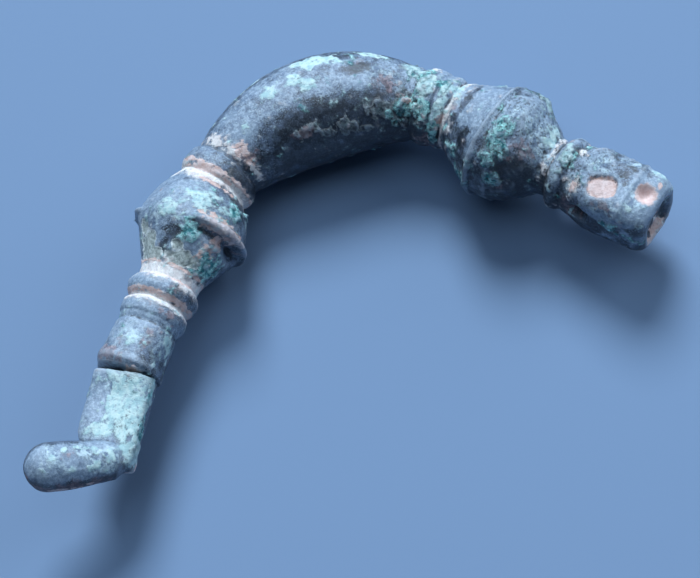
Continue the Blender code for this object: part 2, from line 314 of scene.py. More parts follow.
def tube_mesh(name, points):
    """A closed mesh from a grid of rings, with a point at the middle of each end."""
    count, sides = points.shape[:2]
    ends = np.stack((points[0].mean(axis=0), points[-1].mean(axis=0)))
    vertices = np.concatenate((points.reshape(-1, 3), ends))
    ring = np.arange(count - 1)[:, None] * sides
    near = np.arange(sides)[None, :]
    far = (near + 1) % sides
    quads = np.stack((ring + near, ring + far, ring + far + sides, ring + near + sides), -1)
    quads = quads.reshape(-1, 4)
    last = (count - 1) * sides
    first_fan = np.stack((far[0], near[0], np.full(sides, count * sides)), -1)
    last_fan = np.stack((last + near[0], last + far[0], np.full(sides, count * sides + 1)), -1)
    corners = np.concatenate((quads.ravel(), first_fan.ravel(), last_fan.ravel()))
    sizes = np.concatenate((np.full(len(quads), 4), np.full(2 * sides, 3)))
    starts = np.concatenate(([0], np.cumsum(sizes)[:-1]))
    mesh = bpy.data.meshes.new(name)
    mesh.vertices.add(len(vertices))
    mesh.vertices.foreach_set("co", vertices.ravel())
    mesh.loops.add(len(corners))
    mesh.loops.foreach_set("vertex_index", corners.astype(np.int32))
    mesh.polygons.add(len(sizes))
    mesh.polygons.foreach_set("loop_start", starts.astype(np.int32))
    mesh.update(calc_edges=True)
    mesh.validate()
    return mesh


def finger_along():
    """Distances along the finger: its rounded root, its shank and its domed tip."""
    dome = np.sin(np.linspace(0, math.pi / 2, 20)[:-1])
    return np.concatenate(([ring[0] for ring in FINGER_ROOT_RINGS],
                           np.linspace(0, FINGER_LENGTH, 60)[:-1],
                           FINGER_LENGTH + FINGER_RADIUS * dome))


def finger_surface(sides=84):
    """Rings of the catch finger: a round bar with a slightly swollen, domed tip."""
    along = finger_along()
    marks, radii = zip(*FINGER_SHANK)
    past = np.clip((along - FINGER_LENGTH) / FINGER_RADIUS, 0, 1)
    radius = np.interp(along, (*marks, FINGER_LENGTH), (*radii, FINGER_RADIUS))
    radius = np.where(past > 0, FINGER_RADIUS * np.sqrt(1 - past ** 2), radius)
    radius[:len(FINGER_ROOT_RINGS)] = [ring[1] for ring in FINGER_ROOT_RINGS]
    turn = 2 * math.pi * np.arange(sides) / sides
    ahead = np.array((-math.cos(FINGER_LEAN), 0, math.sin(FINGER_LEAN)))
    aside = np.array((0.0, -1.0, 0.0))
    up = np.cross(ahead, aside)
    round_part = np.cos(turn)[:, None] * aside + np.sin(turn)[:, None] * up
    return (np.array(FINGER_ROOT) + along[:, None, None] * ahead
            + radius[:, None, None] * round_part)


REST_TILT = math.asin((BEAD_RADIUS - BOW_RADIUS) / CROWN_RISE)


def tilted(points):
    """Design-frame points turned onto both bead ridges and the bow."""
    c, s = math.cos(REST_TILT), math.sin(REST_TILT)
    x, y, z = np.moveaxis(points, -1, 0)
    return np.stack((x, c * y + s * z, c * z - s * y), axis=-1)


RINGS, SHRINK = casting_rings()
TURN = 2 * math.pi * np.arange(SIDES) / SIDES
PLAIN = casting_surface(RINGS, SHRINK, TURN)
PLAIN_FINGER = finger_surface()


def rest_shift():
    """Millimetres from the tilted design frame to the CAD solid's place on the ground."""
    cloud = np.concatenate((tilted(PLAIN).reshape(-1, 3), tilted(PLAIN_FINGER).reshape(-1, 3)))
    low, high = cloud.min(axis=0), cloud.max(axis=0)
    cad_low, cad_high = [np.array(corner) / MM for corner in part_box("bow_brooch")]
    shift = (cad_low + cad_high - low - high) / 2
    shift[2] = cad_low[2] - low[2]
    return shift


SHIFT = rest_shift()


def placed(points):
    """Design-frame millimetres to metres at rest on the ground."""
    return (tilted(points) + SHIFT) * MM


def show(mesh, name):
    """A new object of the mesh, in the scene."""
    thing = bpy.data.objects.new(name, mesh)
    bpy.context.scene.collection.objects.link(thing)
    return thing


# Noise.
def scrambled(cell, seed):
    """Three repeatable numbers from -1 to 1 for each integer cell."""
    x, y, z = np.moveaxis(cell.astype(np.int64).astype(np.uint64), -1, 0)
    mixed = (x * np.uint64(0x9E3779B185EBCA87)) ^ (y * np.uint64(0xC2B2AE3D27D4EB4F))
    salt = np.uint64(seed * 0x27D4EB2F165667C5 & 0xFFFFFFFFFFFFFFFF)
    mixed = mixed ^ (z * np.uint64(0x165667B19E3779F9)) ^ salt
    mixed = (mixed ^ (mixed >> np.uint64(29))) * np.uint64(0xBF58476D1CE4E5B9)
    mixed = (mixed ^ (mixed >> np.uint64(32))) * np.uint64(0x94D049BB133111EB)
    mixed = mixed ^ (mixed >> np.uint64(29))
    parts = [(mixed >> np.uint64(shift)) & np.uint64(0x1FFFFF) for shift in (0, 21, 42)]
    return np.stack(parts, axis=-1).astype(float) / 0x100000 - 1


def noise(points, wavelength, seed):
    """Gradient noise, about -1 to 1.

    Each corner of a point's lattice cell has a random direction, dotted with the
    offset to the point, and the eight products are blended by a quintic fade.
    """
    scaled = points / wavelength + 0.37 * seed
    cell = np.floor(scaled)
    part = scaled - cell
    fade = part ** 3 * (part * (part * 6 - 15) + 10)
    total = 0.0
    for corner in itertools.product((0.0, 1.0), repeat=3):
        weight = np.prod(np.where(np.array(corner) > 0, fade, 1 - fade), axis=-1)
        total = total + weight * np.sum(scrambled(cell + corner, seed) * (part - corner), axis=-1)
    return 1.5 * total


def fractal(points, wavelength, octaves, seed, keep=0.5):
    """Sum of noises, each with half the wavelength and `keep` of the height of the last."""
    return sum(keep ** step * noise(points, wavelength / 2 ** step, seed + step)
               for step in range(octaves))


def scattered(points, spacing, seed):
    """Distance to the nearest of scattered points, in spacings, and its random number.

    One point stands at a random place in each lattice cell.
    """
    scaled = points / spacing
    cell = np.floor(scaled)
    nearest = np.full(points.shape[:-1], 9.0)
    number = np.zeros(points.shape[:-1])
    for step in itertools.product((-1.0, 0.0, 1.0), repeat=3):
        home = cell + step
        spot = scrambled(home, seed)
        distance = np.linalg.norm(home + 0.5 + 0.5 * spot - scaled, axis=-1)
        closer = distance < nearest
        nearest = np.where(closer, distance, nearest)
        number = np.where(closer, scrambled(home, seed + 1)[..., 0], number)
    return nearest, number


class Surface:
    """A grid of rings with the fields that relief and stains are worked out from."""

    def __init__(self, points, along, turn, radius):
        self.points = points
        self.normals = grid_normals(points)
        self.along = along + 0 * turn
        self.turn = turn + 0 * along
        self.radius = radius

    def away(self, place, angle):
        """Distances in millimetres along and round from a place on the surface."""
        round_by = (self.turn - math.radians(angle) + math.pi) % (2 * math.pi) - math.pi
        return self.along - place, round_by * self.radius

    def patches(self, rows):
        """Field that is 1 at the middle of an oval patch, 0 at its edge, negative outside.

        Each row gives the place along and round in degrees, the two half sizes in
        millimetres and, if it has one, the slant in degrees. The highest patch counts.
        """
        field = np.full(self.along.shape, -2.0)
        for place, angle, half_long, half_round, *slant in rows:
            down, aside = self.away(place, angle)
            slant = math.radians(sum(slant))
            c, s = math.cos(slant), math.sin(slant)
            u = (down * c + aside * s) / half_long
            v = (aside * c - down * s) / half_round
            field = np.maximum(field, 1 - np.hypot(u, v))
        return field

    def rings(self, rows):
        """Field of rings round the piece: 1 at the place along, 0 at the half width."""
        field = np.full(self.along.shape, -2.0)
        for place, half in rows:
            field = np.maximum(field, 1 - np.abs(self.along - place) / half)
        return field

    def ragged(self, field, reach, seed, wavelength=1.4):
        """The field with its edge broken up by noise."""
        return np.clip(field + reach * fractal(self.points, wavelength, 5, seed, 0.62), -1, 1)

    def window(self, low=0, high=360, soft=12):
        """1 between two angles in degrees, with soft ends, or all round."""
        return between(self.turn, low, high, soft)

    def bump(self, place, angle, half_long, half_round):
        """A smooth round hill, 1 at its top."""
        down, aside = self.away(place, angle)
        return np.exp(-(down / half_long) ** 2 - (aside / half_round) ** 2)

    def ring(self, place, half):
        """A smooth ring, 1 at its crest."""
        return np.exp(-((self.along - place) / half) ** 2)

    def ridges(self, rows):
        """Sum of rings: amount, place along, half width, angles between which they show."""
        return sum(amount * self.ring(place, half) * self.window(*angles)
                   for amount, place, half, *angles in rows)

    def hills(self, rows):
        """Sum of round hills: amount, place along, angle, two half sizes."""
        return sum(amount * self.bump(*shape) for amount, *shape in rows)

    def stretches(self, rows):
        """Sum of even stretches: amount, stretch, angles between which it shows."""
        return sum(amount * smooth_step(self.along, begin, full)
                   * smooth_step(end - self.along, 0, end - fade) * self.window(*angles)
                   for amount, (begin, full, fade, end), *angles in rows)


R = RIDGE_TO_RIDGE
END_FACE = 15              # past this, rings that shrink belong to the end face

# Stains on the casting: place along, place round in degrees, half sizes and, where it
# isn't 0, slant in degrees.
MINT_SPOTS = (
    (0.4, 79, 1.1, 0.95), (1.9, 106, 0.95, 1.8, 20), (0.1, 102, 0.4, 0.5),
    (2.6, 122, 0.5, 0.8, 20), (1.7, 135, 0.4, 0.6), (-0.9, 48, 0.4, 0.3), (13.0, 42, 1.2, 0.2),
    (13.9, 80, 0.85, 0.8), (16.2, 82, 0.75, 0.7), (17.0, 93, 1.0, 0.8, 20),
    (19.0, 118, 0.6, 0.4), (26.4, 62, 1.0, 1.0), (27.8, 88, 0.7, 1.2), (29.6, 105, 0.5, 2.0),
    (30.6, 70, 0.5, 1.4), (R + 4.6, 46, 0.5, 0.7), (R + 2.6, 30, 0.7, 0.6),
    (R + 4.8, 60, 0.5, 1.3), (R + 6.9, 90, 0.5, 1.6), (R + 7.1, 100, 0.4, 0.8),
    (R + 14.6, 45, 0.6, 0.6), (-11.9, 92, 0.4, 0.5), (-11.7, 118, 0.3, 0.3),
    (-10.6, 165, 0.9, 1.0),
)
SOLID_MINT = (
    (18.6, 60, 2.3, 1.0, 4), (22.8, 48, 1.5, 0.6), (-17.0, 120, 4.4, 2.7, 8),
    (-15.4, 104, 1.9, 2.0), (-19.9, 104, 1.6, 3.4), (-21.4, 150, 2.2, 2.4),
    (-14.5, 70, 0.35, 0.9), (-19.2, 76, 0.6, 0.9),
)
CRUST_SPOTS = (
    (-1.1, 112, 0.95, 0.95, 20), (-2.8, 156, 1.5, 1.6), (-3.9, 140, 0.8, 0.5),
    (2.2, 150, 1.2, 0.9), (-16.5, 170, 2.6, 0.6), (-19.4, 172, 1.8, 0.6),
    (R - 0.7, 176, 0.9, 0.9), (26.2, 128, 1.1, 1.0), (24.8, 140, 0.7, 0.5, 10),
    (27.0, 68, 1.0, 1.0), (28.3, 124, 1.0, 1.2), (29.8, 150, 0.9, 1.4), (29.2, 75, 0.6, 0.9),
    (R + 1.5, 100, 0.9, 1.0), (R + 1.6, 118, 1.0, 1.3), (R + 1.4, 136, 0.7, 0.8),
    (R + 2.1, 158, 0.8, 0.9), (R - 2.6, 158, 1.1, 0.5), (R + 2.2, 26, 1.2, 0.6),
    (R + 7.4, 92, 0.6, 1.0), (R + 8.1, 48, 0.4, 0.5), (R + 12.8, 164, 1.1, 0.5),
)
BARE_SPOTS = (
    (-2.9, 50, 1.4, 1.3, -20), (-1.5, 42, 0.6, 0.7), (-3.6, 70, 0.7, 0.8),
    (-3.4, 116, 0.85, 1.6), (-2.7, 104, 0.5, 0.8),
)
SCAB_SPOTS = (
    (15.6, 142, 1.4, 0.8), (17.6, 150, 1.1, 0.5), (20.4, 148, 1.5, 0.9), (23.9, 134, 1.6, 0.9),
    (26.2, 126, 1.4, 1.4), (22.2, 155, 0.9, 0.4),
)
RUST_SPOTS = (
    (8.7, 126, 0.9, 1.2), (24.3, 97, 1.0, 0.9), (15.2, 141, 1.1, 0.5), (-1.3, 146, 1.0, 0.6),
    (0.1, 142, 0.35, 1.6), (30.2, 131, 0.35, 0.6), (26.2, 114, 0.7, 0.3),
    (R + 3.4, 112, 1.0, 1.0), (R + 12.0, 134, 1.0, 0.6), (-11.3, 118, 0.8, 0.5),
    (-13.3, 62, 0.7, 2.0), (-8.3, 140, 0.5, 1.4), (R + 2.6, 125, 1.1, 0.6),
    (28.9, 190, 1.0, 2.0), (R + 8.9, 175, 1.1, 1.0), (-3.2, 140, 0.5, 0.5),
)
PINK_SPOTS = (
    (0.3, 128, 0.7, 1.8), (0.15, 150, 0.7, 1.8), (-1.3, 146, 1.0, 0.6), (-1.9, 136, 0.7, 0.4),
    (8.6, 122, 0.7, 1.1), (5.3, 95, 0.35, 2.0), (-7.0, 138, 0.2, 1.5), (-5.3, 138, 0.2, 1.4),
    (4.15, 120, 0.2, 1.6), (30.1, 131, 0.35, 0.5), (26.4, 117, 0.5, 0.2),
    (R + 8.9, 128, 0.3, 0.5), (-14.3, 122, 0.35, 0.9), (-21.9, 215, 0.6, 0.9),
    (R + 15.3, 64, 0.2, 0.3), (-21.5, 236, 0.9, 1.2),
)
DEPOSIT_SPOTS = (
    (R + 5.7, 50, 0.3, 1.1), (R + 5.7, 130, 0.4, 0.9), (R + 5.75, 92, 0.2, 1.2),
    (7.95, 78, 0.55, 1.6), (8.3, 150, 0.5, 1.8), (8.0, 105, 0.55, 1.2), (0.1, 138, 0.6, 2.1),
    (R + 8.0, 66, 0.4, 0.5), (R + 8.9, 130, 0.5, 0.9), (-14.3, 122, 0.4, 0.9),
    (-21.9, 235, 0.5, 0.8), (-21.9, 205, 0.6, 0.9), (30.1, 131, 0.3, 0.4),
    (R + 16, 280, 0.8, 1.0), (R + 8.9, 118, 0.4, 0.6),
)
# Pale frost; the narrow rows across the head's collars are painted highlights on their crests and
# the rows on the plate are painted light.
FROST_AND_HIGHLIGHT_SPOTS = (
    (R + 3.1, 36, 1.4, 1.2), (R + 3.6, 80, 1.9, 2.2), (R + 1.7, 82, 1.1, 1.1),
    (R - 0.9, 178, 1.6, 1.0), (R - 2.6, 168, 0.7, 1.0), (R + 8.8, 128, 0.7, 1.2),
    (R + 12.9, 138, 2.2, 1.0), (R + 11.5, 128, 1.2, 0.6), (R + 12.4, 52, 1.8, 0.5),
    (24.3, 84, 1.5, 0.7), (R + 5.6, 100, 0.7, 1.8), (R + 6.9, 120, 0.5, 1.2),
    (-11.0, 96, 1.6, 1.2), (-0.6, 62, 1.2, 1.0), (29.4, 112, 0.4, 2.2), (28.4, 100, 0.4, 2.2),
    (30.6, 118, 0.4, 2.2), (R + 14.4, 106, 0.9, 1.2), (R + 4.7, 92, 0.9, 1.8),
    (R + 4.2, 62, 1.0, 1.0), (R + 10.2, 80, 1.0, 1.6), (-15.4, 66, 1.0, 1.6),
    (-20.4, 62, 1.3, 1.6), (-10.4, 150, 1.8, 0.8), (R + 5.4, 64, 0.6, 2.2),
)
# Places where the bloom is thin and the patina shows dark, partly painted shade in hollows,
# undersides and silhouettes, and where it is thick, partly painted light on slopes and undersides.
DARK_PATINA_AND_SHADE_PLACES = (
    (R - 3.3, 95, 0.4, 2.6), (R - 1.4, 134, 0.6, 1.0), (R + 1.2, 26, 1.6, 0.9),
    (R + 3.3, 138, 1.4, 1.5), (R + 2.3, 66, 0.9, 0.4, 40), (R + 5.9, 150, 1.0, 1.6),
    (R + 8.6, 186, 1.4, 1.4), (R + 9.7, 150, 1.1, 0.6), (20.3, 60, 1.1, 0.5),
    (22.0, 80, 1.6, 0.5, -15), (27.0, 182, 2.4, 2.4), (-3.0, 84, 0.9, 0.5),
    (-1.9, 92, 0.6, 0.9), (R + 13.3, 52, 1.6, 0.7, 20), (14.6, 172, 3.6, 0.8),
    (21.5, 176, 3.2, 0.7),
)
PALE_BLOOM_AND_LIT_PLACES = (
    (R + 5.1, 95, 1.0, 2.4), (R + 6.2, 114, 0.8, 1.4), (R + 12.2, 147, 2.4, 1.0),
    (R + 3.4, 72, 1.6, 1.8), (-2.5, 124, 1.2, 1.4), (R + 14.6, 174, 1.5, 1.0),
    (-15.9, 142, 1.6, 1.0), (-14.3, 92, 0.9, 2.0), (R + 1.9, 112, 0.9, 0.9),
)
# Rings of stain round the piece: place along, half width.
PINK_RINGS = ((-6.95, 0.22), (5.65, 0.28), (-4.15, 0.18))
DEPOSIT_RINGS = ((4.9, 0.9), (-4.9, 0.95), (-7.45, 0.6), (R - 4.55, 0.4))

# Sockets on the terminal's roof: distance from the head's ridge, offset outward from the
# centre line, half sizes, slant in degrees, squareness, depth, width of the wall.
SOCKETS = (
    (11.15, -1.1, 1.35, 1.1, 20, 3.0, 0.32, 0.12),
    (14.75, 0.1, 1.0, 1.05, 0, 2.2, 0.8, 0.9),
)


def socket_field(surface, across, row):
    """1 at the middle of a socket, 0 at its rim: one less a superellipse radius."""
    place, offset, half_long, half_round, slant, square = row[:6]
    c, s = math.cos(math.radians(slant)), math.sin(math.radians(slant))
    down, aside = surface.along - R - place, across - offset
    u = np.abs(down * c + aside * s) / half_long
    v = np.abs(aside * c - down * s) / half_round
    on_roof = (surface.turn > 0.3) & (surface.turn < 2.9)
    return np.where(on_roof, 1 - (u ** square + v ** square) ** (1 / square), -1)


# How thickly small flecks lie: place along the centre line and level.
MINT_LEVELS = ((-23, -0.6), (-16, -0.6), (-12, -0.5), (-8, -0.75), (0, -0.6), (4, -0.8),
               (9, -0.75), (18, -0.65), (25, -0.65), (28, -0.6), (R - 5, -0.62), (R - 2, -0.7),
               (R + 3, -0.75), (R + 7, -0.5), (R + 12, -0.7), (R + 16, -0.65))
CRUST_LEVELS = ((-23, -0.8), (-8, -0.8), (-3, -0.6), (3, -0.6), (8, -0.9), (18, -0.8),
                (24, -0.55), (28, -0.4), (R - 4, -0.45), (R - 1, -0.7), (R + 2, -0.55),
                (R + 5, -0.6), (R + 8, -0.6), (R + 16, -0.75))
RUST_LEVELS = ((-23, -0.8), (-8, -0.6), (-1, -0.6), (3, -0.9), (10, -1), (24, -0.8), (28, -0.5),
               (R - 4, -0.5), (R, -0.9), (R + 3, -0.6), (R + 8, -0.6), (R + 16, -0.7))
DEPOSIT_LEVELS = ((-23, -0.9), (0, -0.9), (24, -0.9), (28, -0.45), (R - 4, -0.35),
                  (R - 2, -0.8), (R + 4, -0.9), (R + 7, -0.4), (R + 9, -0.7), (R + 16, -0.8))
ROUGH_LEVELS = ((-23, 0.25), (-8, 0.25), (0, 0.4), (4, 0.3), (9, 0.25), (22, 0.35), (26, 0.8),
                (28, 0.5), (R - 4, 0.5), (R - 1.5, 0.3), (R + 1, 1.0), (R + 9, 1.0),
                (R + 12, 0.6), (R + 13.3, 0.25), (R + 16, 0.3))


def flecks(surface, levels, wavelength, seed):
    """Field of small scattered stains, thicker where the level is higher."""
    level = np.interp(surface.along, *zip(*levels))
    return np.clip(level + fractal(surface.points, wavelength, 4, seed, 0.65), -1, 1)


def collar_gaps(surface):
    """Up to 1 in the narrow gaps beside the head's collars, where grime left them open."""
    gaps = surface.ring(R - 6.25, 0.14) + surface.ring(R - 4.8, 0.14)
    return gaps * smooth_step(fractal(surface.points, 2.6, 3, 87), -0.25, 0.35)


# Stains laid out as patches: field, patches, factor and shift on them, and the reach,
# seed and wavelength of the ragged edge.
CASTING_STAINS = (
    ("mint", MINT_SPOTS, 1, 0, 0.75, 11, 1.0), ("crust", CRUST_SPOTS, 1.5, 0, 0.8, 21, 0.9),
    ("bare", BARE_SPOTS, 1, 0, 0.4, 31, 1.1), ("scab", SCAB_SPOTS, 1, 0, 0.7, 36, 0.9),
    ("frost_and_highlight", FROST_AND_HIGHLIGHT_SPOTS, 1, 0, 0.7, 85, 1.1), ("rust", RUST_SPOTS, 1, 0, 0.9, 41, 0.7),
    ("pink", PINK_SPOTS, 1, 0, 0.95, 56, 0.6),
    ("deposit", DEPOSIT_SPOTS, 1, 0, 0.9, 51, 0.6),
)
# Stains in rings: field, rings, shift, reach, seed, wavelength.
RING_STAINS = (
    ("pink", PINK_RINGS, -0.25, 0.8, 59, 0.8), ("deposit", DEPOSIT_RINGS, 0, 0.55, 52, 1.3),
)
# Small scattered stains: field, levels, wavelength, seed.
FLECKS = (
    ("mint", MINT_LEVELS, 1.3, 91), ("crust", CRUST_LEVELS, 1.6, 95),
    ("rust", RUST_LEVELS, 1.5, 99), ("deposit", DEPOSIT_LEVELS, 1.0, 103),
)
BLOCK_MIDDLE = -10         # the solid mint stops short of the block
BLOCK_REACH = 4.1


def laid_out(surface, stains):
    """Fields of the stains that are laid out as patches."""
    return {name: surface.ragged(factor * surface.patches(rows) + shift, reach, seed, wavelength)
            for name, rows, factor, shift, reach, seed, wavelength in stains}


def casting_stains(surface, across):
    """Fields of the stains, crusts and losses: positive inside each, with ragged edges."""
    fields = laid_out(surface, CASTING_STAINS)
    fields["bare"] = np.clip(2 * fields["bare"], -1, 1)
    for name, rows, shift, reach, seed, wavelength in RING_STAINS:
        ring = surface.ragged(surface.rings(rows) + shift, reach, seed, wavelength)
        fields[name] = np.maximum(fields[name], ring)
    solid = np.clip(4 * surface.ragged(surface.patches(SOLID_MINT), 0.55, 12, 1.2), -1, 1)
    on_block = np.abs(surface.along - BLOCK_MIDDLE) < BLOCK_REACH
    fields["mint"] = np.maximum(fields["mint"], np.where(on_block, -1, solid))
    for name, levels, wavelength, seed in FLECKS:
        fields[name] = np.maximum(fields[name], flecks(surface, levels, wavelength, seed))
    for name in ("mint", "crust", "deposit", "frost_and_highlight"):
        fields[name] = fields[name] - 0.5 * collar_gaps(surface)
    panel, round_socket = [socket_field(surface, across, row) for row in SOCKETS]
    filled = 2.2 * np.maximum(panel, round_socket) + 0.12 * fractal(surface.points, 0.6, 3, 57)
    fields["pink"] = np.clip(np.maximum(fields["pink"], filled), -1, 1)
    for name in ("mint", "crust"):
        fields[name] = np.minimum(fields[name], 0.3 - 3 * np.maximum(filled, 0))
    on_end = (SHRINK[:, None] < 0.9) & (surface.along > R + END_FACE)
    low = surface.window(235, 290, 35) * smooth_step(SHRINK[:, None], 0.2, 0.5)
    end_pink = np.clip(1.2 * low - 0.95 + 1.9 * fractal(surface.points, 0.9, 4, 58), -1, 1)
    fields["pink"] = np.where(on_end, end_pink, fields["pink"])
    return fields


# How much pale bloom the patina has: place along the centre line and level.
BLOOM_LEVELS = ((-22, 0.8), (-15, 0.8), (-13, 0.6), (-9, 1.1), (-6, 0.8), (-1.5, 0.7),
                (2.5, 0.75), (5.0, 0.5), (7.0, 0.5), (10, 0.6), (20, 0.55), (26, 0.7), (28, 0.8),
                (R - 2, 1.0), (R + 1, 0.6), (R + 5, 0.5), (R + 9, 0.6), (R + 16, 0.8))

BLOOM_SWING = ((-22, 0.3), (-9, 0.3), (-6, 0.25), (-1, 0.3), (5, 0.3), (10, 0.25), (24, 0.4),
               (28, 0.8), (R - 3, 0.5), (R - 1, 0.5), (R + 1, 1.0), (R + 12, 1.0), (R + 16, 0.6))


# Stretches along the piece: where they begin, are full, start to fade and end.
ALL_ALONG = (-99, -98, 98, 99)
ON_BOW = (6, 10, 25, 28)
# What is added to the level, to the painted shade and to the swing of the bloom; the painted
# shade darkens the undersides, the inner side and outer edges as shade. Stretches give the amount,
# the stretch and the angles; ridges the amount, place, half width and angles; hills the amount,
# place, angle and half sizes.
LEVEL_STRETCHES = (
    (0.7, (R + 13.2, R + 13.6, 98, 99), 40, 125), (-1.2, (R + 16.0, R + 16.08, 98, 99)),
)
LEVEL_RIDGES = ((0.9, R + 3, 2.2, 48, 98), (-0.2, R + 3, 2.2, 118, 230))
# Painted shade: the inner and lower sides and the bow's outer edge darkened, less so at the foot and
# head.
PAINTED_SHADE_STRETCHES = (
    (1.15, ALL_ALONG, 130, 215, 28), (-0.55, (-99, -98, 3, 5), 130, 215, 28),
    (-0.35, (R - 3, R, 98, 99), 130, 215, 28), (0.35, ALL_ALONG, 215, 330, 20),
    (0.6, ON_BOW, -70, 42, 18), (-0.5, (R - 4, R - 2, 98, 99), 112, 145, 15),
    (0.35, ON_BOW, 116, 150, 14),
)
PAINTED_SHADE_RIDGES = ((0.6, R, 4.0, -60, 44, 20),)
PAINTED_SHADE_HILLS = ((0.5, 23.3, 50, 2.0, 1.2), (-0.9, 9.8, 128, 1.8, 1.8))
SWING_STRETCHES = (
    (0.35, ALL_ALONG, -95, 20, 30), (0.3, ON_BOW, 128, 215, 20),
    (0.45, (R + 9, R + 11, 98, 99), 140, 240, 20),
)
DARK_SHADE = 1.3
PALE_SHADE = -0.9


def bloom_and_light_field(surface, across):
    """Pale bloom, partly painted light: strongest on top and outside, weak low down on the inner
    side, where painted shade darkens it.
    """
    level = (np.interp(surface.along, *zip(*BLOOM_LEVELS)) + surface.stretches(LEVEL_STRETCHES)
             + surface.ridges(LEVEL_RIDGES))
    painted_shade = (surface.stretches(PAINTED_SHADE_STRETCHES) + surface.ridges(PAINTED_SHADE_RIDGES)
             + surface.hills(PAINTED_SHADE_HILLS))
    for rows, seed, amount in ((DARK_PATINA_AND_SHADE_PLACES, 83, DARK_SHADE), (PALE_BLOOM_AND_LIT_PLACES, 84, PALE_SHADE)):
        places = surface.ragged(surface.patches(rows), 0.6, seed, 1.2)
        painted_shade = painted_shade + amount * smooth_step(places, -0.5, 0.6)
    swing = np.interp(surface.along, *zip(*BLOOM_SWING)) + surface.stretches(SWING_STRETCHES)
    for row in SOCKETS:
        level = level + 0.9 * np.exp(-((socket_field(surface, across, row) + 0.12) / 0.16) ** 2)
    return np.clip(level - painted_shade + swing * fractal(surface.points, 2.2, 6, 81, 0.7), -1, 1)


# Unevenness of the cast skin: height in millimetres, wavelength, seed.
SKIN_WAVES = ((0.10, 6.0, 61), (0.06, 2.7, 62), (0.03, 1.1, 63))
ROUGH_WAVES = ((0.09, 1.3, 64), (0.075, 0.6, 65))
PIT_DEPTH = 0.13
PIT_SPACING = 1.1
PIT_REACH = 0.26           # radius of a pit, in spacings


def relief(surface, fields):
    """Height in millimetres of the worn and corroded surface over the plain shape."""
    p = surface.points
    crust, scab, bare, deposit, mint = [smooth_step(fields[name], 0, soft) for name, soft in
                                        (("crust", 0.3), ("scab", 0.2), ("bare", 0.1),
                                         ("deposit", 0.3), ("mint", 0.15))]
    height = sum(amount * noise(p, wavelength, seed) for amount, wavelength, seed in SKIN_WAVES)
    rough = 0.35 + 0.65 * smooth_step(noise(p, 4.0, 64), -0.3, 0.5)
    rough = rough * np.interp(surface.along, *zip(*ROUGH_LEVELS)) * (
        1 - 0.75 * surface.ring(0, 0.5) - 0.75 * surface.ring(R, 0.5))
    height = height + rough * sum(amount * fractal(p, wavelength, 2, seed)
                                  for amount, wavelength, seed in ROUGH_WAVES)
    knobs = fractal(p, 0.7, 3, 66)
    crust = crust * (1 - 0.65 * surface.ring(29.8, 1.7))
    height = height + crust * (0.06 + 0.16 * np.abs(knobs) + 0.10 * knobs)
    height = height + scab * (0.05 + 0.14 * np.abs(knobs) + 0.05 * knobs)
    height = height - bare * (0.11 + 0.04 * fractal(p, 0.6, 2, 67))
    height = height + deposit * (0.05 + 0.05 * fractal(p, 0.6, 2, 68)) + 0.04 * mint
    distance, number = scattered(p, PIT_SPACING, 69)
    pits = np.interp(surface.along, *zip(*ROUGH_LEVELS)) * smooth_step(-fields["pink"], -0.1, 0.1)
    pits = pits * smooth_step(PIT_REACH - distance, 0, 0.16) * (number > 0.35)
    return height - PIT_DEPTH * pits


# Single features of the relief: rings, with the angles between which they show, and hills.
FEATURE_RIDGES = (
    (0.14, 0.15, 0.55, 118, 185), (-0.30, -0.85, 0.3, 122, 190),
    (0.15, -8.9, 0.4), (-0.10, -9.6, 0.2), (0.08, -13.0, 0.35),
    (-0.12, R + 0.5, 0.16, 60, 130), (0.2, R, 0.2, 150, 225, 30),
    (0.19, R - 0.1, 0.16, 50, 128, 15), (0.3, R + 2.3, 1.0, 15, 88, 25),
    (0.16, R + 13.4, 0.28, 40, 140),
)
FEATURE_HILLS = (
    (-0.85, -0.95, 176, 0.5, 1.1), (0.2, -0.45, 32, 0.9, 0.7),
    (-1.3, R + 9.9, 172, 0.85, 0.6), (-0.3, R + 11.6, 50, 0.9, 0.5),
    (0.22, R + 9.4, 50, 0.6, 0.7),
)
GAP_DEPTH = 0.13
END_DISH = 0.6


def casting_features(surface, across):
    """Height in millimetres of single features: worn lips, scars, sockets, hollows."""
    height = (surface.ridges(FEATURE_RIDGES) + surface.hills(FEATURE_HILLS)
              - GAP_DEPTH * collar_gaps(surface))
    for row in SOCKETS:
        depth, wall = row[6:]
        height = height - depth * smooth_step(socket_field(surface, across, row), 0, wall)
    on_end = smooth_step(0.86 - SHRINK[:, None], 0, 0.35) * (surface.along > R + END_FACE)
    return height - END_DISH * on_end


def hollowness(points, normals):
    """How far each point lies below its blurred surroundings, in millimetres."""
    blurred = points
    for step in range(6):
        blurred = (np.roll(blurred, 1, axis=1) + 2 * blurred + np.roll(blurred, -1, axis=1)) / 4
        padded = np.concatenate((blurred[:1], blurred, blurred[-1:]))
        blurred = (padded[:-2] + 2 * blurred + padded[2:]) / 4
    return np.sum((blurred - points) * normals, axis=-1)


def sculpted(surface, fields, features):
    """The surface moved along its normals, and the field of its hollows."""
    points = surface.points + (relief(surface, fields) + features)[..., None] * surface.normals
    fields["hollow"] = np.clip(8 * hollowness(points, grid_normals(points)) - 0.15, -1, 1)
    fields["rough"] = np.interp(surface.along, *zip(*ROUGH_LEVELS))
    return points


def casting_across():
    """Signed distance outward from the centre line, for every point of the plain casting."""
    x, y, heading = centre_line(RINGS)
    return ((PLAIN[..., 1] - y[:, None]) * np.cos(heading)[:, None]
            - (PLAIN[..., 0] - x[:, None]) * np.sin(heading)[:, None])


CASTING = Surface(PLAIN, RINGS[:, None], TURN[None, :],
                  np.maximum(worn_radius(RINGS), 2.6)[:, None])
ACROSS = casting_across()
CASTING_FIELDS = casting_stains(CASTING, ACROSS)
CASTING_FIELDS["bloom_and_painted_light"] = bloom_and_light_field(CASTING, ACROSS)
CASTING_POINTS = sculpted(CASTING, CASTING_FIELDS, casting_features(CASTING, ACROSS))

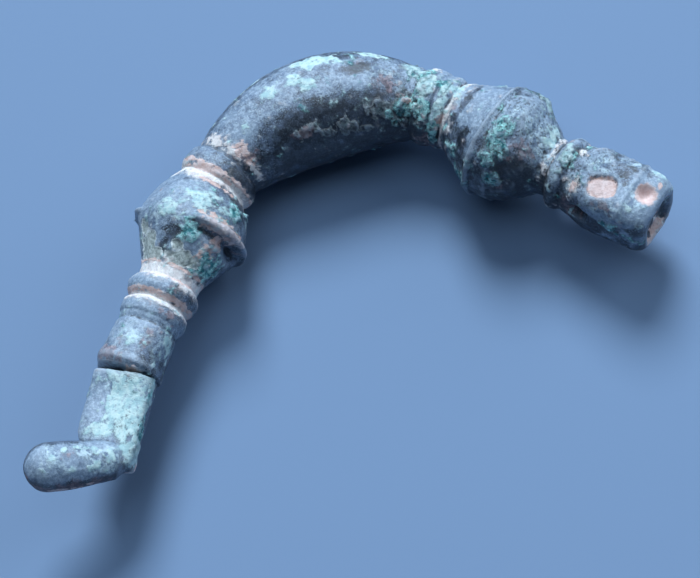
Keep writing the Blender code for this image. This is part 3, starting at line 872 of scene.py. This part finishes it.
FINGER_MINT = (
    (0.6, 80, 0.9, 1.2), (2.2, 60, 0.7, 0.7), (2.0, 95, 0.6, 0.5), (3.2, 100, 0.5, 0.6),
    (5.6, 88, 0.6, 1.0), (4.2, 52, 0.4, 0.35), (1.2, 40, 0.6, 0.5), (4.5, 105, 0.4, 0.4),
    (6.6, 60, 0.4, 0.5),
)
FINGER_RUST = (
    (4.6, 357, 2.4, 0.9), (1.8, 0, 1.4, 0.7), (4.4, 90, 0.8, 0.5), (6.8, 350, 0.9, 0.9),
)
FINGER_PINK = (
    (5.2, 352, 1.3, 0.4), (2.6, 358, 0.8, 0.3),
)
finger_sides = PLAIN_FINGER.shape[1]
FINGER = Surface(PLAIN_FINGER, finger_along()[:, None],
                 2 * math.pi * np.arange(finger_sides)[None, :] / finger_sides, FINGER_RADIUS)
FINGER_STAINS = (
    ("mint", FINGER_MINT, 1, -0.35, 1.0, 11, 0.7), ("frost_and_highlight", FINGER_MINT, 1, 0.35, 0.8, 85, 1.6),
    ("rust", FINGER_RUST, 1, 0, 0.9, 41, 0.9), ("pink", FINGER_PINK, 1, -0.1, 0.9, 56, 0.6),
)
FINGER_FIELDS = laid_out(FINGER, FINGER_STAINS)
nowhere = FINGER.patches(())
FINGER_FIELDS.update(bare=nowhere, scab=nowhere, crust=nowhere / 2, deposit=nowhere / 2)
# Bloom on the finger, lighter on its upper side as painted light.
FINGER_FIELDS["bloom_and_painted_light"] = np.clip(0.8 * fractal(PLAIN_FINGER, 2.6, 5, 81, 0.65)
                                 + 1.4 * FINGER.window(35, 115, 35) - 0.6, -1, 1)
FINGER_POINTS = sculpted(FINGER, FINGER_FIELDS, 0)
SHIFT[2] = -min(tilted(points)[..., 2].min() for points in (CASTING_POINTS, FINGER_POINTS))


def stained_piece(name, points, fields):
    """A closed piece whose fields become point attributes for its material."""
    piece = show(tube_mesh(name, placed(points)), name)
    for field_name, field in fields.items():
        ends = (field[0].mean(), field[-1].mean())
        layer = piece.data.attributes.new(field_name, "FLOAT", "POINT")
        layer.data.foreach_set("value", np.append(field.ravel(), ends).astype(np.float32))
    piece.data.shade_smooth()
    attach(piece, "root")
    return piece


def mesh_arrays(mesh):
    """Points and edges of a mesh as whole arrays."""
    points = np.empty(3 * len(mesh.vertices), np.float32)
    mesh.vertices.foreach_get("co", points)
    edges = np.empty(2 * len(mesh.edges), np.int32)
    mesh.edges.foreach_get("vertices", edges)
    return points.reshape(-1, 3), edges.reshape(-1, 2)


def same_points(points, others):
    """For each point the index of the identical one among the others, or -1."""
    keys, other_keys = [np.ascontiguousarray(array).view("V12").ravel()
                        for array in (points, others)]
    order = np.argsort(other_keys)
    place = np.minimum(np.searchsorted(other_keys[order], keys), len(order) - 1)
    found = order[place]
    return np.where(other_keys[found] == keys, found, -1)


# Where the finger joins: reach of the smoothing in metres, and how often it is done.
SEAM_REACH = 0.0011
SEAM_STEPS = 40


def joined(casting, finger):
    """The finger made one with the casting, and the crease between them filled.

    The union's own new points, at the seam, take their stains from their neighbours.
    Then points near the seam move towards the middle of their neighbours, many times,
    by a share that falls smoothly to nothing at SEAM_REACH.
    """
    names = list(FINGER_FIELDS)
    before, stains = [], []
    for piece in (casting, finger):
        before.append(mesh_arrays(piece.data)[0])
        values = np.empty((len(names), len(before[-1])), np.float32)
        for name, row in zip(names, values):
            piece.data.attributes[name].data.foreach_get("value", row)
        stains.append(values)
    union = casting.modifiers.new("finger", "BOOLEAN")
    union.operation, union.object, union.solver = "UNION", finger, "EXACT"
    graph = bpy.context.evaluated_depsgraph_get()
    mesh = bpy.data.meshes.new_from_object(casting.evaluated_get(graph))
    casting.modifiers.clear()
    casting.data = mesh
    bpy.data.objects.remove(finger)
    points, edges = mesh_arrays(mesh)
    origin = same_points(points, np.concatenate(before))
    own = (origin >= 0).astype(float)
    values = np.concatenate(stains, axis=1)[:, origin].T * own[:, None]
    points = points.astype(float)
    seam = points[own < 0.5]
    near = np.full(len(points), 1.0)
    box = (points > seam.min(axis=0) - SEAM_REACH) & (points < seam.max(axis=0) + SEAM_REACH)
    inside = np.flatnonzero(box.all(axis=1))
    near[inside] = np.linalg.norm(points[inside, None] - seam[None, :], axis=-1).min(axis=1)
    share = 0.5 * smooth_step(SEAM_REACH - near, 0, SEAM_REACH)[:, None]

    def around(rows):
        """For each point the sum of its neighbours' rows."""
        total = np.zeros_like(rows)
        np.add.at(total, edges[:, 0], rows[edges[:, 1]])
        np.add.at(total, edges[:, 1], rows[edges[:, 0]])
        return total
    touching = around(np.ones((len(points), 1)))
    filled = around(values) / np.maximum(around(own[:, None]), 1)
    values = np.where(own[:, None] > 0.5, values, filled)
    for step in range(SEAM_STEPS):
        points += share * (around(points) / touching - points)
        values += share * (around(values) / touching - values)
    mesh.vertices.foreach_set("co", points.astype(np.float32).ravel())
    for name, row in zip(names, values.T):
        mesh.attributes[name].data.foreach_set("value", row.astype(np.float32))
    mesh.shade_smooth()
    mesh.update()


casting = stained_piece("bow_brooch_casting", CASTING_POINTS, CASTING_FIELDS)
joined(casting, stained_piece("catch_finger", FINGER_POINTS, FINGER_FIELDS))
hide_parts("bow_brooch")


# Materials.
class Network:
    """Short ways of adding nodes to a tree and joining them."""

    def __init__(self, tree):
        self.tree = tree

    def add(self, kind, settings=(), **inputs):
        node = self.tree.nodes.new(kind)
        for name, value in dict(settings).items():
            setattr(node, name, value)
        for name, value in inputs.items():
            self.feed(node.inputs[name.replace("_", " ")], value)
        return node

    def feed(self, socket, value):
        if isinstance(value, bpy.types.NodeSocket):
            self.tree.links.new(value, socket)
        else:
            socket.default_value = value

    def maths(self, operation, first, second=0.0, third=0.0):
        node = self.add("ShaderNodeMath", {"operation": operation})
        for socket, value in zip(node.inputs, (first, second, third)):
            self.feed(socket, value)
        return node.outputs[0]

    def ramp(self, value, low, high, start=0.0, end=1.0):
        """Smooth step from start at low to end at high."""
        node = self.add("ShaderNodeMapRange", {"interpolation_type": "SMOOTHSTEP"})
        for name, number in (("Value", value), ("From Min", low), ("From Max", high),
                             ("To Min", start), ("To Max", end)):
            self.feed(node.inputs[name], number)
        return node.outputs["Result"]

    def blend(self, factor, under, over, kind="MIX"):
        node = self.add("ShaderNodeMix", {"data_type": "RGBA", "blend_type": kind})
        self.feed(node.inputs["Factor"], factor)
        self.feed(node.inputs[6], under)
        self.feed(node.inputs[7], over)
        return node.outputs[2]

    def blend_value(self, factor, under, over):
        node = self.add("ShaderNodeMix", {"data_type": "FLOAT"})
        self.feed(node.inputs["Factor"], factor)
        self.feed(node.inputs[2], under)
        self.feed(node.inputs[3], over)
        return node.outputs[0]

    def noise(self, place, scale, detail=4.0, roughness=0.55, distortion=0.0):
        node = self.add("ShaderNodeTexNoise", Vector=place, Scale=scale, Detail=detail,
                        Roughness=roughness, Distortion=distortion)
        return node.outputs["Fac"]

    def attribute(self, name):
        return self.add("ShaderNodeAttribute", {"attribute_name": name}).outputs["Fac"]


def group(name, inputs, outputs):
    """A new node group, its network and its input sockets by name."""
    tree = bpy.data.node_groups.new(name, "ShaderNodeTree")
    for socket_name, kind in inputs:
        tree.interface.new_socket(socket_name, in_out="INPUT", socket_type="NodeSocket" + kind)
    for socket_name, kind in outputs:
        tree.interface.new_socket(socket_name, in_out="OUTPUT", socket_type="NodeSocket" + kind)
    network = Network(tree)
    source = tree.nodes.new("NodeGroupInput")
    sink = tree.nodes.new("NodeGroupOutput")
    return tree, network, source.outputs, sink.inputs


RIM_COLOUR = (0.82, 0.88, 0.88, 1)


def mineral_layer_group():
    """One stain over what lies under it: a ragged mask, two mottled tones, a roughness."""
    tree, net, given, result = group(
        "mineral_layer",
        (("Place", "Vector"), ("Under Color", "Color"), ("Under Roughness", "Float"),
         ("Under Height", "Float"), ("Field", "Float"), ("Softness", "Float"),
         ("Pale", "Color"), ("Deep", "Color"), ("Grain", "Float"), ("Roughness", "Float"),
         ("Strength", "Float"), ("Veil", "Float"), ("Rim", "Float"), ("Solid", "Float"),
         ("Height", "Float")),
        (("Color", "Color"), ("Roughness", "Float"), ("Mask", "Float"), ("Height", "Float")))
    edge = net.noise(given["Place"], 2.0, 6.0, 0.75)
    broken = net.maths("ADD", given["Field"], net.maths("MULTIPLY", net.maths(
        "SUBTRACT", edge, 0.5), 1.6))
    veil = net.maths("MULTIPLY", net.ramp(broken, -0.35, 0.3), given["Veil"])
    mask = net.maths("MAXIMUM", net.ramp(broken, 0.0, given["Softness"]), veil)
    mask = net.maths("MULTIPLY", mask, given["Strength"])
    grain = net.noise(given["Place"], given["Grain"], 5.0, 0.68)
    solid = net.maths("MULTIPLY", net.ramp(broken, 0.3, 0.8), given["Solid"])
    pale = net.maths("MAXIMUM", net.ramp(grain, 0.40, 0.60), solid)
    tone = net.blend(pale, given["Deep"], given["Pale"])
    rim = net.maths("MULTIPLY", net.ramp(broken, 0.55, 0.15), given["Rim"])
    tone = net.blend(rim, tone, RIM_COLOUR)
    net.feed(result["Color"], net.blend(mask, given["Under Color"], tone))
    net.feed(result["Roughness"], net.blend_value(mask, given["Under Roughness"],
                                                  given["Roughness"]))
    net.feed(result["Mask"], mask)
    rise = net.maths("MULTIPLY", mask, net.maths("MULTIPLY", grain, given["Height"]))
    net.feed(result["Height"], net.maths("ADD", given["Under Height"], rise))
    return tree


MINERAL_LAYER = mineral_layer_group()

# Stains from the lowest to the highest, painted light among them: the bloom is partly painted light,
# the frost holds painted highlights and the hollow layer is painted shade. Columns: field, softness
# of the edge, pale and deep tones, grains to the millimetre, roughness, strength, veil beyond the
# edge, pale rim, evenness of the middle, height.
LAYERS = (
    ("bloom_and_painted_light", 0.75, (0.41, 0.52, 0.65), (0.155, 0.225, 0.34), 2.8, 0.43, 0.85, 0.0, 0.0, 0.4, 0.5),
    # The frost layer holds painted highlights as well as pale frost.
    ("frost_and_highlight", 0.7, (0.60, 0.76, 0.84), (0.13, 0.20, 0.31), 1.7, 0.55, 0.85, 0.3, 0.0, 0.0, 1.0),
    ("scab", 0.25, (0.18, 0.24, 0.26), (0.015, 0.022, 0.035), 2.6, 0.75, 0.85, 0.0, 0.22, 0.0, 2.0),
    ("rust", 0.5, (0.42, 0.29, 0.30), (0.15, 0.10, 0.12), 2.2, 0.80, 0.65, 0.2, 0.0, 0.0, 0.6),
    ("crust", 0.3, (0.50, 0.95, 0.92), (0.010, 0.20, 0.23), 1.7, 0.75, 0.95, 0.2, 0.0, 0.0, 2.0),
    # Painted shade: near black in the hollows of the relief.
    ("hollow", 0.5, (0.02, 0.023, 0.03), (0.007, 0.008, 0.011), 1.5, 0.60, 0.85, 0.0, 0.0, 0.0, 0.0),
    ("bare", 0.06, (0.54, 0.60, 0.58), (0.30, 0.35, 0.33), 3.4, 0.80, 0.95, 0.0, 1.0, 0.0, 1.0),
    ("deposit", 0.4, (0.90, 0.88, 0.87), (0.68, 0.58, 0.57), 1.6, 0.85, 0.95, 0.3, 0.0, 0.6, 0.8),
    ("pink", 0.30, (0.87, 0.68, 0.65), (0.68, 0.43, 0.37), 1.7, 0.85, 0.92, 0.25, 0.0, 0.6, 0.6),
    ("mint", 0.30, (0.60, 0.77, 0.76), (0.37, 0.58, 0.61), 1.5, 0.70, 0.95, 0.22, 0.0, 0.8, 0.5),
)


DARK_PATINA = (0.012, 0.017, 0.028, 1)
LIGHT_PATINA = (0.11, 0.155, 0.24, 1)
PALE_SPECK_AND_GLINT = (0.41, 0.53, 0.67, 1)
PIT_COLOUR = (0.02, 0.03, 0.045, 1)
CREST_HIGHLIGHT_COLOUR = (0.42, 0.50, 0.60, 1)


def patinated_bronze():
    """Dark blue-grey patina under bloom, rust, crust, losses, cream deposit and mint, with painted
    shade, highlights and glints.
    """
    material = bpy.data.materials.new("patinated_bronze")
    material.use_nodes = True
    net = Network(material.node_tree)
    shader = material.node_tree.nodes["Principled BSDF"]
    place = net.add("ShaderNodeTexCoord").outputs["Object"]
    millimetres = net.add("ShaderNodeMapping", {"vector_type": "POINT"}, Vector=place)
    millimetres.inputs["Scale"].default_value = (1000, 1000, 1000)
    place = millimetres.outputs["Vector"]
    # The lighter patina tone follows the bloom field, so it carries that field's painted shade and
    # light too.
    mottle = net.noise(place, 1.1, 7.0, 0.74)
    mottle_share = net.maths("MULTIPLY", net.ramp(mottle, 0.40, 0.64), net.ramp(
        net.attribute("bloom_and_painted_light"), -0.9, 0.1, 0.3, 1.0))
    colour = net.blend(mottle_share, DARK_PATINA, LIGHT_PATINA)
    # Pale specks, partly grain and partly painted glints, most where the bloom and its painted light
    # are high.
    speck = net.noise(place, 7.5, 3.0, 0.85)
    salt = net.maths("MULTIPLY", net.ramp(speck, 0.52, 0.64), net.ramp(
        net.attribute("bloom_and_painted_light"), -0.7, 0.5, 0.16, 0.85))
    colour = net.blend(salt, colour, PALE_SPECK_AND_GLINT)
    roughness = net.ramp(mottle, 0.3, 0.7, 0.34, 0.46)
    height = net.maths("MULTIPLY", speck, 0.5)
    masks = {}
    for name, softness, pale, deep, grain, rough, strength, veil, rim, solid, rise in LAYERS:
        layer = material.node_tree.nodes.new("ShaderNodeGroup")
        layer.node_tree = MINERAL_LAYER
        for socket_name, value in (
                ("Place", place), ("Under Color", colour), ("Under Roughness", roughness),
                ("Under Height", height), ("Field", net.attribute(name)),
                ("Softness", softness), ("Pale", (*pale, 1)), ("Deep", (*deep, 1)),
                ("Grain", grain), ("Roughness", rough), ("Strength", strength),
                ("Veil", veil), ("Rim", rim), ("Solid", solid), ("Height", rise)):
            net.feed(layer.inputs[socket_name], value)
        colour, roughness = layer.outputs["Color"], layer.outputs["Roughness"]
        height, masks[name] = layer.outputs["Height"], layer.outputs["Mask"]
    pepper = net.noise(place, 4.2, 4.0, 0.8)
    pits = net.maths("MULTIPLY", net.ramp(pepper, 0.49, 0.38), net.ramp(
        net.attribute("rough"), 0.2, 1.0, 0.25, 0.9))
    filled = net.maths("MAXIMUM", masks["pink"], masks["mint"])
    pits = net.maths("MULTIPLY", pits, net.ramp(filled, 0.0, 1.0, 1.0, 0.1))
    colour = net.blend(pits, colour, PIT_COLOUR)
    # Painted highlight: the crests of the relief are lightened.
    crest_highlight = net.ramp(net.attribute("hollow"), -0.25, -0.8, 0.0, 0.45)
    colour = net.blend(crest_highlight, colour, CREST_HIGHLIGHT_COLOUR)
    shader.inputs["Specular IOR Level"].default_value = 0.7
    net.feed(shader.inputs["Base Color"], colour)
    net.feed(shader.inputs["Roughness"], roughness)
    height = net.maths("MULTIPLY", height, net.ramp(net.attribute("rough"), 0.2, 1.0, 0.8, 1.6))
    grain = net.add("ShaderNodeBump", Strength=0.75, Distance=0.00014, Height=height)
    net.feed(shader.inputs["Normal"], grain.outputs["Normal"])
    return material


PATINATED_BRONZE = patinated_bronze()
casting.data.materials.append(PATINATED_BRONZE)

# Camera.
CAMERA_PLACE = (1.54, -65.85, 139.83)
CAMERA_AIM = (0.60, -3.63, 0.05)
CAMERA_ROLL = math.radians(18.0)
CAMERA_LENS = 87.4


def make_camera():
    """A camera at its place, aimed and then rolled about its line of sight."""
    camera = bpy.data.objects.new("camera", bpy.data.cameras.new("camera"))
    bpy.context.scene.collection.objects.link(camera)
    camera.data.lens = CAMERA_LENS
    camera.data.sensor_width = 36.0
    camera.data.sensor_fit = "HORIZONTAL"
    camera.data.clip_start = 0.01
    camera.data.clip_end = 20
    place, aim = Vector(CAMERA_PLACE) * MM, Vector(CAMERA_AIM) * MM
    back = (place - aim).normalized()
    right = Vector((0, 0, 1)).cross(back).normalized()
    up = back.cross(right)
    c, s = math.cos(CAMERA_ROLL), math.sin(CAMERA_ROLL)
    rolled = Matrix((right * c - up * s, right * s + up * c, back)).transposed()
    camera.matrix_world = Matrix.Translation(place) @ rolled.to_4x4()
    bpy.context.scene.camera = camera


make_camera()


def area_light(name, place, size, watts, colour):
    """A round light at a place, facing the brooch at the origin."""
    light = bpy.data.lights.new(name, "AREA")
    light.shape = "DISK"
    light.size = size
    light.energy = watts
    light.color = colour
    lamp = bpy.data.objects.new(name, light)
    bpy.context.scene.collection.objects.link(lamp)
    lamp.location = place
    lamp.rotation_euler = (-Vector(place)).to_track_quat("-Z", "Y").to_euler()


# Lights that face the brooch: name, place in metres, size, watts, colour.
LIGHTS = (
    ("window_behind", (0.14, 0.74, 0.79), 0.50, 15.7, (0.76, 0.89, 1.0)),
    ("soft_overhead", (-0.10, 0.10, 0.72), 0.60, 1.5, (0.62, 0.80, 1.0)),
    ("soft_right", (0.62, 0.10, 0.42), 0.60, 2.2, (0.70, 0.85, 1.0)),
)
for light_row in LIGHTS:
    area_light(*light_row)

FLOOR_HALF_SIZE = 2
FLOOR_COLOUR = (0.178, 0.268, 0.420, 1)
WORLD_COLOUR = (0.5, 0.72, 1.0, 1)
WORLD_STRENGTH = 0.05


def plain_floor():
    """A square floor at height 0 under the brooch."""
    mesh = bpy.data.meshes.new("floor")
    outline = [(x * FLOOR_HALF_SIZE, y * FLOOR_HALF_SIZE, 0)
               for x, y in ((-1, -1), (1, -1), (1, 1), (-1, 1))]
    mesh.from_pydata(outline, [], [(0, 1, 2, 3)])
    material = bpy.data.materials.new("pale_floor")
    material.use_nodes = True
    shader = material.node_tree.nodes["Principled BSDF"]
    shader.inputs["Base Color"].default_value = FLOOR_COLOUR
    shader.inputs["Roughness"].default_value = 0.9
    mesh.materials.append(material)
    show(mesh, "floor")


plain_floor()
world = bpy.data.worlds.new("studio")
bpy.context.scene.world = world
world.use_nodes = True
world.node_tree.nodes["Background"].inputs["Color"].default_value = WORLD_COLOUR
world.node_tree.nodes["Background"].inputs["Strength"].default_value = WORLD_STRENGTH
bpy.context.scene.view_settings.view_transform = "Standard"


def corners(box):
    """Both corners of a box as plain lists, in metres."""
    return [[round(value, 6) for value in corner] for corner in box]
